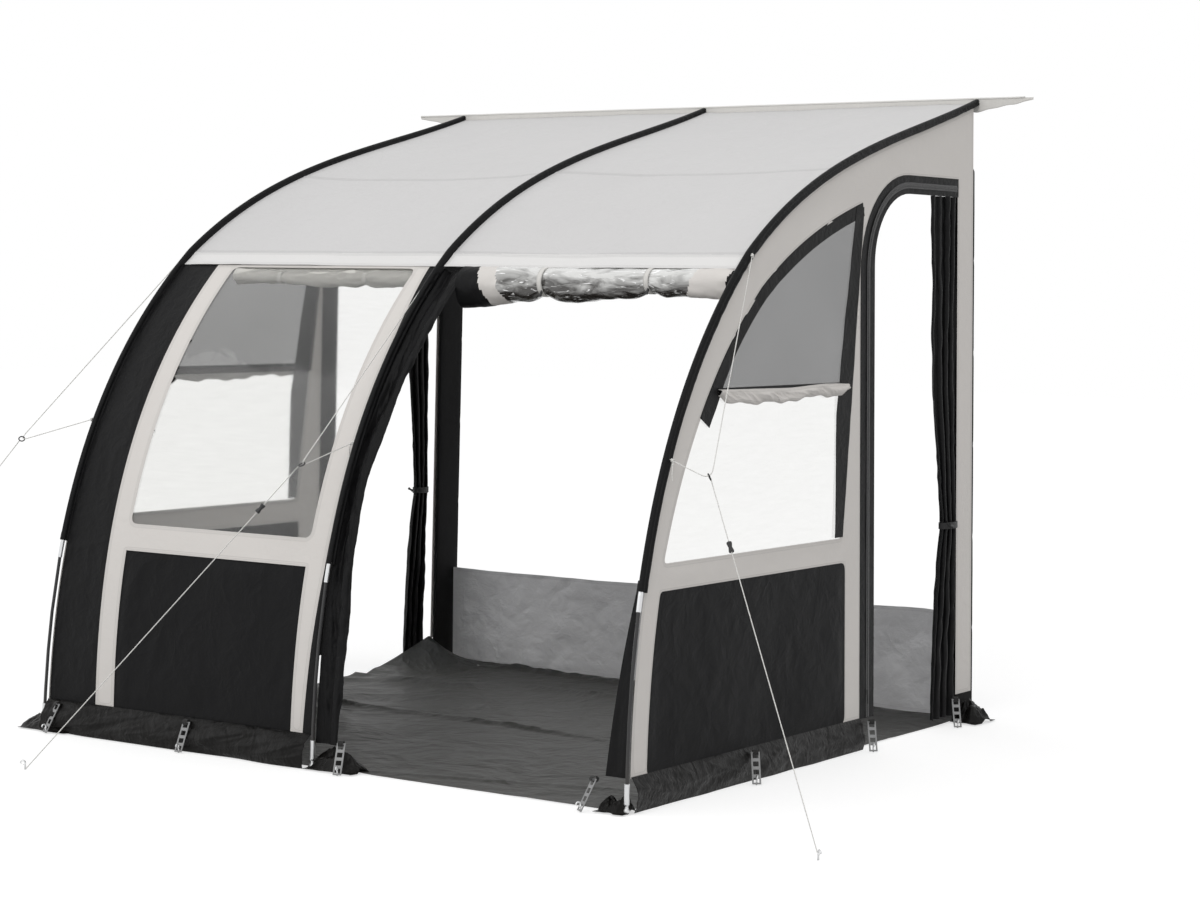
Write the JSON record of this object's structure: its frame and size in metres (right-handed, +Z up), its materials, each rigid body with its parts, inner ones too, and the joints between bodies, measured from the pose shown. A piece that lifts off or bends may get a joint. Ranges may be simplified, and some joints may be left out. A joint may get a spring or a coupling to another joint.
{
  "type": "caravan awning",
  "caption": "Pole awning for a caravan's side: arched poles in sleeves, cloth roof and walls, windows, one front bay closed and one rolled open, side doors, guy ropes.",
  "frame": {"origin": "on the ground under the middle of the floor, halfway between the caravan side and the front feet", "axes": "+Z up; the front faces -Y and the caravan side +Y; +X runs along the caravan towards the open front bay"},
  "size_m": [4.3227, 2.9948, 2.3639],
  "materials": {
    "roof_cloth": "light grey coated polyester",
    "pale_cloth": "pale grey-beige coated polyester",
    "dark_cloth": "black woven polyester with a slight sheen",
    "sleeve_cloth": "black woven polyester",
    "flap": "glossy black coated cloth",
    "mesh": "see-through dark mesh",
    "foil": "clear window foil",
    "curtain": "grey cloth",
    "fibreglass": "black glass-fibre rod",
    "steel": "zinc-plated steel",
    "rope": "white braided cord",
    "black_plastic": "black moulded plastic",
    "foam_pad": "black cloth over foam",
    "groundsheet": "dark grey woven plastic sheet",
    "skirt": "silver-grey coated cloth",
    "bead": "pale plastic bead and strip"
  },
  "bodies": {
    "awning": {"door_border_left": "dark_cloth", "door_border_right": "dark_cloth", "door_cloth_left": "dark_cloth", "door_cloth_right": "dark_cloth", "draught_skirt": "skirt", "foot_left": "steel", "foot_middle": "steel", "foot_right": "steel", "front_curtain": "curtain", "front_edge_strip": "dark_cloth", "front_flap": "flap", "front_frame": "pale_cloth", "front_gather": "dark_cloth", "front_lower_panel": "dark_cloth", "front_right_strip": "dark_cloth", "front_roll": "pale_cloth", "front_window": "foil", "groundsheet": "groundsheet", "guy_bridle_left": "rope", "guy_bridle_middle": "rope", "guy_bridle_right": "rope", "guy_line_left": "rope", "guy_line_middle": "rope", "guy_line_right": "rope", "guy_ring_left": "black_plastic", "guy_ring_middle": "black_plastic", "guy_ring_right": "black_plastic", "leg_tube_left": "steel", "leg_tube_middle": "steel", "leg_tube_right": "steel", "lower_leg_left": "fibreglass", "lower_leg_middle": "fibreglass", "lower_leg_right": "fibreglass", "lower_panel_left": "dark_cloth", "lower_panel_right": "dark_cloth", "rail_strip": "bead", "rear_pad_left": "foam_pad", "rear_pad_right": "foam_pad", "roof_left": "roof_cloth", "roof_pole_left": "fibreglass", "roof_pole_middle": "fibreglass", "roof_pole_right": "fibreglass", "roof_right": "roof_cloth", "sleeve_left": "sleeve_cloth", "sleeve_middle": "sleeve_cloth", "sleeve_right": "sleeve_cloth", "wall_flap_left": "flap", "wall_flap_right": "flap", "wall_panel_left": "pale_cloth", "wall_panel_right": "pale_cloth", "window_foil_left": "foil", "window_foil_right": "foil", "window_mesh_left": "mesh", "window_mesh_right": "mesh"},
    "runner_left": {"guy_runner_left": "black_plastic"},
    "runner_middle": {"guy_runner_middle": "black_plastic"},
    "runner_right": {"guy_runner_right": "black_plastic"},
    "zip_left": {"zip_slider_left": "black_plastic"},
    "zip_right": {"zip_slider_right": "black_plastic"}
  },
  "joints": [
    {"name": "runner_right_slide", "type": "slide", "parent": "awning", "child": "runner_right", "axis": [0.5102, -0.3379, -0.7909], "range_m": [-0.22, 0.97]},
    {"name": "runner_middle_slide", "type": "slide", "parent": "awning", "child": "runner_middle", "axis": [-0.5124, -0.4198, -0.7492], "range_m": [-0.165, 1.1]},
    {"name": "runner_left_slide", "type": "slide", "parent": "awning", "child": "runner_left", "axis": [-0.4452, -0.4114, -0.7953], "range_m": [-0.185, 0.98]},
    {"name": "zip_left_slide", "type": "slide", "parent": "awning", "child": "zip_left", "axis": [0.0165, -0.0001, 0.9999], "range_m": [-0.04, 1.45]},
    {"name": "zip_right_slide", "type": "slide", "parent": "awning", "child": "zip_right", "axis": [-0.0165, -0.0001, 0.9999], "range_m": [-0.04, 1.45]}
  ]
}
